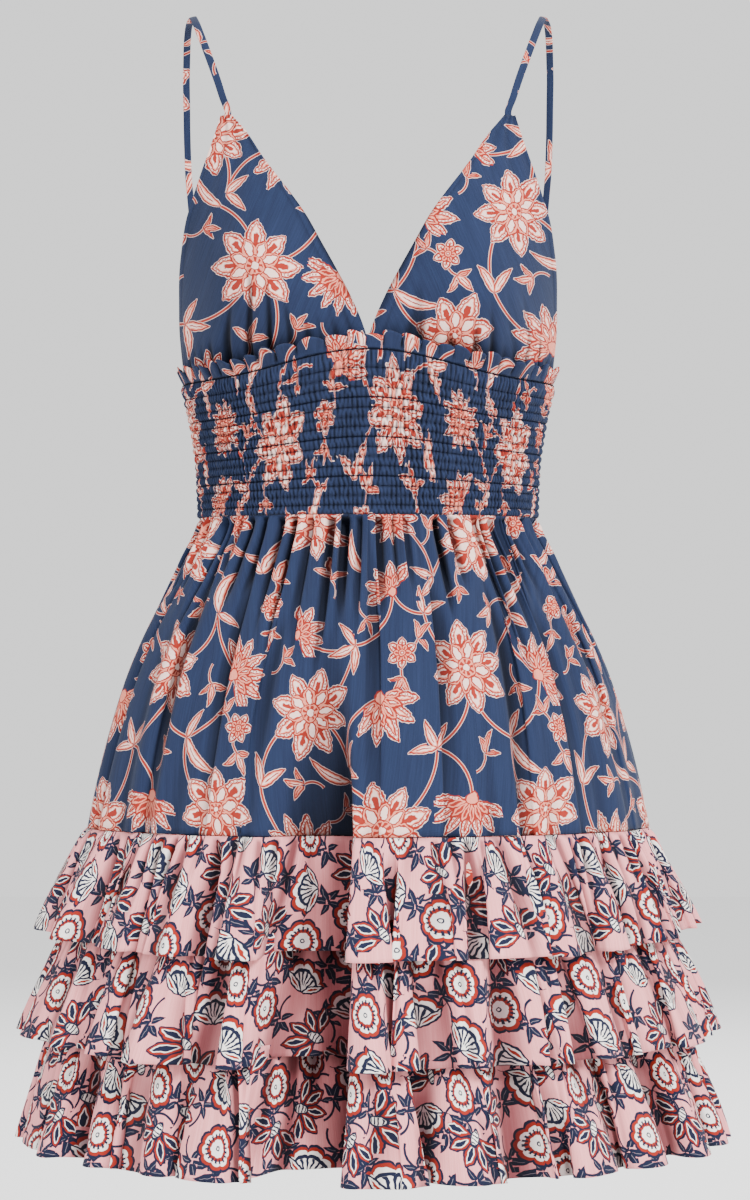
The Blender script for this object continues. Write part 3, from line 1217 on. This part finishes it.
def band_surface(angle, share):
    """Between two rows the puff is 1 - (2s - 1)^2, and puckers ripple over it."""
    row, s = elastic_row(share)
    puff = 1 - (2 * np.clip(s, 0, 1) - 1) ** 2
    starts = np.random.default_rng(21).uniform(0, 2 * np.pi, (4, len(ROW_SHARES) + 1))
    turn = np.radians(angle)

    def ripple(of_row):
        wave = 252 * turn + starts[0][of_row] + 1.6 * np.sin(23 * turn + starts[1][of_row])
        other = 176 * turn + starts[2][of_row] + 1.4 * np.sin(17 * turn + starts[3][of_row])
        return 0.7 * np.cos(wave) + 0.5 * np.cos(other)

    # The pucker at a row is shared by the puff above it and the one below
    blend = smooth_step(s, 0.15, 0.85)
    pucker = ripple(row) * (1 - blend) + ripple(row + 1) * blend
    strength = PUCKER * (0.55 + 0.6 * puff) * slow_change(angle, 31, 0.7, 1.3)
    loose = smooth_step(share, 0.0, 0.02) * (1 - smooth_step(share, 0.985, 1.0))
    outwards = PUFF * puff ** 0.7 + pucker * strength * (0.4 + 0.6 * loose) - 0.0002
    return form_point(angle, band_height(angle, share), outwards)


def hidden_cloth(angle, share):
    """How far the print is displaced sideways because puckers swallow cloth, other in each row."""
    row, _ = elastic_row(share)
    starts = np.random.default_rng(22).uniform(0, 2 * np.pi, (3, len(ROW_SHARES)))
    turn = np.radians(angle)
    fine = 0.0013 * np.sin(190 * turn + starts[0][row] + 1.5 * np.sin(21 * turn + starts[1][row]))
    broad = 0.0016 * np.sin(47 * turn + starts[2][row])
    return fine + broad


# Shade between the puckers, and in the pinch at each elastic row
SHIRRING = ((0.0015, 1, 0.00036, 0.75), (0.0032, 0, 0.0008, 0.72))
SHIRRED_WALL, BAND_SHIFT = 0.0006, (20, 95)
# The share of the cut cloth that the modelled puffs and puckers hold. Finer ones swallow the rest
PUCKERS_HOLD = 0.74
for side, columns, rows in (("front", 560, 81), ("back", 380, 65)):
    angle, share = np.meshgrid(half_angles(side, columns), np.linspace(0, 1, rows))
    points = band_surface(angle, share)
    smooth = form_point(angle, band_height(angle, share))
    flat = flat_places(smooth, SHIRR_FULLNESS, SHIRR_FULLNESS)
    flat[..., 0] += hidden_cloth(angle, share)
    piece = cloth_piece(f"band_cloth_{side}", points, flat, "blue", BAND_SHIFT, SHIRRED_WALL, SHIRRING)
    fall = full_length(smooth, 0).max()
    cut = (surface_area(points) / (PUCKERS_HOLD * fall), fall)
    sewn_on(f"band_{side}", cut)

# %% [markdown]
# ## The elastic rows
#
# Each row is a line of machine stitches that sinks into the cloth. A thin round thread follows the
# bottom of every valley, half sunk, so that each row reads as a fine dark line.

# %% Stitched rows
THREAD_RADIUS, THREAD_SIDES = 0.00048, 3
# How far the thread's middle lies outside the form, how far each stitch rises, and stitches all round
THREAD_OUT, STITCH_RISE, STITCHES = 0.0003, 0.00022, 330


def thread_along(path, outwards):
    """A tube: at each point of the path a ring, in the plane of outwards and the side."""
    along = np.gradient(path, axis=0)
    sideways = np.cross(along, outwards)
    sideways /= np.linalg.norm(sideways, axis=1, keepdims=True)
    turn = np.linspace(0, 2 * np.pi, THREAD_SIDES, endpoint=False)[None, :, None]
    return path[:, None, :] + THREAD_RADIUS * (
        np.cos(turn) * outwards[:, None] + np.sin(turn) * sideways[:, None])


def threads(name, rings):
    """Joins several tubes, each a grid of stations by sides, into one closed mesh."""
    points, faces, first = [], [], 0
    here = np.arange(THREAD_SIDES)
    after = (here + 1) % THREAD_SIDES
    for ring in rings:
        station = first + np.arange(len(ring) - 1)[:, None] * THREAD_SIDES
        below = station + THREAD_SIDES
        quads = np.stack([station + here, station + after, below + after, below + here], axis=-1)
        last = below[-1, 0]
        points.append(ring.reshape(-1, 3))
        faces += quads.reshape(-1, 4).tolist() + [(first + here)[::-1].tolist(), (last + here).tolist()]
        first = last + THREAD_SIDES
    mesh = bpy.data.meshes.new(name)
    mesh.from_pydata(np.concatenate(points), [], faces)
    mesh.update()
    return rigid_piece(name, mesh, "thread")


for side in ("front", "back"):
    rings = []
    angle = half_angles(side, 220)
    for number, share in enumerate(ROW_SHARES[:-1]):
        stitch = STITCH_RISE * np.cos(np.radians(angle) * STITCHES + number)
        height = band_surface(angle, np.full_like(angle, share))[:, 2]
        outwards = normals_of(form_point, angle, height)
        path = form_point(angle, height) + outwards * (THREAD_OUT + stitch)[:, None]
        rings.append(thread_along(path, outwards))
    piece = threads(f"elastic_rows_{side}", rings)
    print(f"elastic rows {side}: {len(piece.data.polygons)} faces")

# %% [markdown]
# ## The heading frill
#
# Above the first elastic row the band's own edge stands free and ripples, in front of the cups.

# %% Frill
FRILL_HEIGHT, FRILL_FLARE, FRILL_WAVES = 0.011, 0.0048, 62


def frill_surface(angle, up):
    """The form above the first row, flared outwards by uneven waves that grow upwards."""
    phase = uneven_wave(angle, FRILL_WAVES, 40, 1.6)
    large = (0.5 + 0.5 * np.cos(phase)) * slow_change(angle, 42, 0.45, 1.3)
    small = (0.5 + 0.5 * np.cos(uneven_wave(angle, 118, 41, 2.2))) * slow_change(angle, 43, 0.2, 1.2)
    seams = at_the_seams(angle)
    outwards = FRILL_FLARE * up ** 0.8 * (0.10 + (large + 0.4 * small) * seams) - 0.0003 * (1 - up)
    uneven = 0.16 * np.cos(phase + 0.8) + 0.14 * np.cos(uneven_wave(angle, 27, 44, 2.0))
    height = band_top(angle) + SEAM_GAP + FRILL_HEIGHT * up * (0.90 + uneven)
    return form_point(angle + 1.2 * seams * up * np.sin(phase), height, outwards)


RIPPLED = ((0.0045, 1, 0.0011, 0.85),)
for side in ("front", "back"):
    angle, up = np.meshgrid(half_angles(side, 480), np.linspace(1, 0, 9))
    points = frill_surface(angle, up)
    # The print runs on from the band, so every row lies as the seam's row does
    flat = flat_places(points, SHIRR_FULLNESS, SHIRR_FULLNESS)
    flat[..., 0] = flat[-1:, :, 0]
    flat[..., 1] = FRILL_HEIGHT * up
    piece = cloth_piece(f"frill_cloth_{side}", points, flat, "blue", BAND_SHIFT, SHIRRED_WALL, RIPPLED)
    cut = (full_length(points, 1).mean(), FRILL_HEIGHT)
    sewn_on(f"frill_{side}", cut)

# %% [markdown]
# ## The cups
#
# Each cup is a triangle of cloth, gathered along its bottom edge, with a narrow turned edge along
# the neckline and the armhole. The gathers fan upwards and die out over the bust.

# %% Cups
CUP_GATHERS = 10
# The cups' top height, how far they reach down behind the band's edge, and how far their outer faces lie
# behind the form there
CUP_TOP, CUP_LAP, CUP_BEHIND = -0.0795, 0.0035, 0.0018
# How deep the gathers and the fine ones between them go, the diagonal drag, and the turned edge
CUP_DEPTH, CUP_FINE, CUP_DRAG, CUP_EDGE = 0.0046, 0.0017, 0.0007, 0.0005
# Height, angle of the neckline, angle of the armhole
CUP_EDGES = np.array([
    (-0.079, 41, 44.5),
    (-0.0931, 35, 46.5),
    (-0.116, 28.2, 50.8),
    (-0.1381, 21.5, 56.3),
    (-0.1553, 16.8, 61.8),
    (-0.1745, 12.7, 67.1),
    (-0.1935, 8.6, 73.1),
    (-0.2131, 4.6, 79.2),
    (-0.233, 1.2, 86.5),
    (-0.239, 0.5, 88.5),
    (-0.25, 0.3, 89.7),
    (-0.3, 0.3, 89.7),
])


def cup_surface(across, down, seed):
    """Between the two edge tables, behind the band's inner face, with gathers that fade upwards."""
    _, inner, outer = CUP_EDGES[-1]
    seam = band_top(inner + (outer - inner) * across) + SEAM_GAP
    height = CUP_TOP + (seam - CUP_LAP - CUP_TOP) * down
    neckline = smooth_between(height, CUP_EDGES, 1)
    armhole = smooth_between(height, CUP_EDGES, 2)
    angle = neckline + (armhole - neckline) * across
    above = height - band_top(angle)
    edge = np.clip(np.sin(np.pi * across), 0, 1) ** 0.5
    start, drift, end = np.random.default_rng(seed).uniform(0, 2 * np.pi, 3)
    drawn = 0.30 * np.sin(7 * across + drift) + 0.22 * np.sin(13 * across + end)
    wide = 0.5 - 0.5 * np.cos(2 * np.pi * (CUP_GATHERS * across + drawn))
    wide = wide ** 2 * (0.75 + 0.5 * np.sin(9 * across + start))
    fine = np.cos(2 * np.pi * (19 * across + 0.5 * np.sin(7 * across + start)) + drift)
    reach = 0.070 * (0.75 + 0.45 * np.sin(11 * across + end))
    inwards = CUP_DEPTH * wide * (1 - smooth_step(above, 0.004, reach))
    inwards = inwards + CUP_FINE * (0.5 + 0.5 * fine) * (1 - smooth_step(above, 0.004, 0.034))
    drag = CUP_DRAG * np.cos(2 * np.pi * (3.1 * across - 2.3 * down) + start)
    turned_edge = CUP_EDGE * (smooth_step(-across, -0.045, -0.035) + smooth_step(across, 0.955, 0.965))
    pinch = 1 - smooth_step(above, -0.0032, 0.0045)
    outer_at = 0.0008 * pinch - CUP_BEHIND - inwards * edge * (1 - pinch) + drag * edge * (1 - down)
    outer_at = outer_at + turned_edge * (1 - smooth_step(down, 0.92, 1.0))
    normals = normals_of(form_point, angle, height)
    return form_point(angle, height) + normals * outer_at[..., None]


CUP_FOLDS = ((0.0030, 1, 0.0005, 0.50), (0.007, 1, 0.0013, 0.75), (0.030, 0, 0.0050, 0.60))
# The cloth is cut on the bias, so the print and the ribs turn with it
CUP_BIAS = 24
for name, side, seed, shift in (("left", 1, 51, (15.5, 104.7)), ("right", -1, 52, (125.3, 52.2))):
    points = cup_surface(*np.meshgrid(np.linspace(0, 1, 106), np.linspace(0, 1, 92)), seed)
    points[..., 0] *= side
    if side < 0:
        points = points[:, ::-1]
    flat = turned_into(points[..., [0, 2]] * (1.12, 1.08), CUP_BIAS * side)
    piece = cloth_piece(f"cup_cloth_{name}", points, flat, "blue", shift, CLOTH, CUP_FOLDS)
    cut = (full_length(points, 1).max(), full_length(points, 0).max())
    sewn_on(f"cup_{name}", cut)

# %% [markdown]
# ## The straps
#
# A strap is a narrow tube of cloth, pressed flat. It follows one smooth line from behind the cup's
# point, over the shoulder, to inside the back band.

# %% Straps
STRAP_WIDTH, STRAP_THICK = 0.0054, 0.0015
# x, y, z of the centre line, and the way its outer face looks
STRAP_LINE = np.array([
    (0.103, -0.0632, -0.067, 0.45, -0.85, 0.25),
    (0.1071, -0.0595, -0.0541, 0.42, -0.76, 0.48),
    (0.114, -0.0485, -0.0345, 0.38, -0.62, 0.68),
    (0.12, -0.034, -0.018, 0.34, -0.46, 0.82),
    (0.1245, -0.0175, -0.006, 0.3, -0.24, 0.92),
    (0.128, 0.003, 0.0008, 0.27, 0.02, 0.96),
    (0.1312, 0.022, -0.0012, 0.26, 0.26, 0.93),
    (0.1335, 0.0395, -0.011, 0.27, 0.55, 0.79),
    (0.1345, 0.0515, -0.0235, 0.3, 0.74, 0.6),
    (0.1352, 0.0605, -0.04, 0.34, 0.86, 0.38),
    (0.1352, 0.0685, -0.066, 0.4, 0.9, 0.16),
    (0.1345, 0.072, -0.098, 0.46, 0.89, 0.03),
    (0.132, 0.0715, -0.13, 0.52, 0.85, 0),
    (0.1275, 0.0665, -0.175, 0.6, 0.8, 0),
    (0.1205, 0.0565, -0.22, 0.67, 0.74, 0),
])
# Where each end is sewn: its angle, its heights, and how far it lies behind the form
STRAP_FRONT = (42.7, (-0.096, -0.087, -0.078), 0.0045)
STRAP_BACK = (122.5, (-0.252, -0.264, -0.277), 0.0026)


def sewn_end(angle, heights, behind):
    """Rows of the centre line where the strap lies flat behind the cloth, with the way it faces."""
    heights = np.array(heights)
    points = form_point(np.full(len(heights), angle), heights, -behind)
    outwards = form_point(np.full(len(heights), angle), heights) - points
    return np.hstack([points, outwards / behind])


def strap_surface(stations, sides):
    """At each station a flat ring: half the width times cos, and half the thickness times sin."""
    line = np.concatenate([sewn_end(*STRAP_FRONT), STRAP_LINE, sewn_end(*STRAP_BACK)])
    table = np.column_stack([np.arange(len(line)), line])
    fine = np.linspace(0, len(line) - 1, stations)
    smoothed = [smooth_between(fine, table, column) for column in range(1, 7)]
    centre, facing = np.stack(smoothed[:3], axis=-1), np.stack(smoothed[3:], axis=-1)
    along = np.gradient(centre, axis=0)
    width = np.cross(along, facing)
    width /= np.linalg.norm(width, axis=1, keepdims=True)
    thick = np.cross(width, along)
    thick /= np.linalg.norm(thick, axis=1, keepdims=True)
    turn = np.linspace(0, 2 * np.pi, sides + 1)
    across = np.sign(np.cos(turn)) * np.abs(np.cos(turn)) ** 0.6 * STRAP_WIDTH / 2
    out = np.sign(np.sin(turn)) * np.abs(np.sin(turn)) ** 0.8 * STRAP_THICK / 2
    return centre[:, None] + width[:, None] * across[None, :, None] + thick[:, None] * out[None, :, None]


# What a maker cuts for the tube, and the pressed tube's own width. Pressed, it is half as wide
STRAP_CUT, STRAP_PRESSED = 0.012, 0.0068
for name, side in (("left", 1), ("right", -1)):
    grid = strap_surface(220, 16)
    grid[..., 0] *= side
    if side > 0:
        grid = grid[:, ::-1]
    round_it = distance_along(grid, 1)
    down_it = distance_along(grid, 0).mean(axis=1)
    flat = np.stack([round_it, -down_it[:, None] + 0 * round_it], axis=-1)
    rows, sides = grid.shape[0], grid.shape[1] - 1
    # The last column repeats the first, so the faces close onto it
    index = np.arange(rows)[:, None] * sides + np.append(np.arange(sides), 0)
    ends = [index[0, :-1].tolist(), index[-1, :-1][::-1].tolist()]
    mesh = cloth_mesh(f"strap_cloth_{name}", grid[:, :-1], index, flat, "blue", (90, 40), ends)
    piece = rigid_piece(mesh.name, mesh, "blue")
    cut = (STRAP_CUT, float(down_it[-1]))
    sewn_on(f"strap_{name}", cut)

# %% [markdown]
# ## The studio
#
# A pale floor and background, large soft lights, and a camera at the height of the hips, where the
# hems bow down in front and the straps' loops open upwards.

# %% Floor, lights and camera
FLOOR_LEVEL, BACKGROUND_LIGHT = -1.05, 1.25
floor_corners = [(x, y, FLOOR_LEVEL) for x, y in ((-6, -6), (6, -6), (6, 6), (-6, 6))]
floor_mesh = bpy.data.meshes.new("floor")
floor_mesh.from_pydata(floor_corners, [], [(0, 1, 2, 3)])
floor_shader = Shader("pale_floor")
floor_shader.wire(floor_shader.principled, {"Base Color": (0.9, 0.9, 0.9, 1.0), "Roughness": 0.9})
floor_mesh.materials.append(floor_shader.material)
linked("floor", floor_mesh)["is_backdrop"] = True

world = bpy.data.worlds.new("studio")
world.use_nodes = True
background = world.node_tree.nodes["Background"]
background.inputs["Color"].default_value = (1.0, 1.0, 1.0, 1.0)
background.inputs["Strength"].default_value = BACKGROUND_LIGHT
bpy.context.scene.world = world


def soft_light(name, place, target, size, power):
    """A square lamp of that size in metres and power in watts, turned to its target."""
    light = bpy.data.lights.new(name, "AREA")
    light.size, light.energy = size, power
    lamp = linked(name, light)
    lamp.location = place
    lamp.rotation_euler = (Vector(target) - Vector(place)).to_track_quat("-Z", "Y").to_euler()


soft_light("key", (1.6, -2.5, 1.4), (0, 0, -0.45), 0.9, 205)
soft_light("fill", (-2.2, -2.3, 0.4), (0, 0, -0.45), 1.6, 50)
soft_light("back", (0.4, 2.4, 1.2), (0, 0, -0.4), 1.8, 75)

# The camera's distance and height in metres, and the picture's scale where the dress stands
DISTANCE, EYE_LEVEL, PIXELS_PER_METRE = 2.6, -0.4589, 1379.3
# The picture's height in pixels, and how far the horizon lies from its middle
PICTURE_HEIGHT, HORIZON_OFF = 1200, 50
SENSOR = 36.0
camera_data = bpy.data.cameras.new("camera")
camera_data.sensor_fit = "VERTICAL"
camera_data.sensor_height = SENSOR
camera_data.lens = SENSOR * PIXELS_PER_METRE * DISTANCE / PICTURE_HEIGHT
camera = linked("camera", camera_data)
camera.location = (0.005, -DISTANCE, EYE_LEVEL)
camera.rotation_euler = (np.pi / 2 + np.arctan(HORIZON_OFF / (PIXELS_PER_METRE * DISTANCE)), 0.0, 0.0)
bpy.context.scene.camera = camera

# %% [markdown]
# ## Finish
#
# The dressed model must keep the plain model's size, so both boxes are written down before the end.

# %% Sizes, and the last line
bpy.context.view_layer.update()
depsgraph = bpy.context.evaluated_depsgraph_get()
counts = {}
for thing in bpy.context.scene.objects:
    if thing.type == "MESH" and thing.name not in frame["nodes"]:
        evaluated = thing.evaluated_get(depsgraph).to_mesh()
        evaluated.calc_loop_triangles()
        counts[thing.name] = len(evaluated.loop_triangles)
print("triangles:", counts, "in all", sum(counts.values()))
boxes = {"cad": cad_box, "dressed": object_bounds()}
boxes = {name: [list(map(float, corner)) for corner in box] for name, box in boxes.items()}
print(boxes)
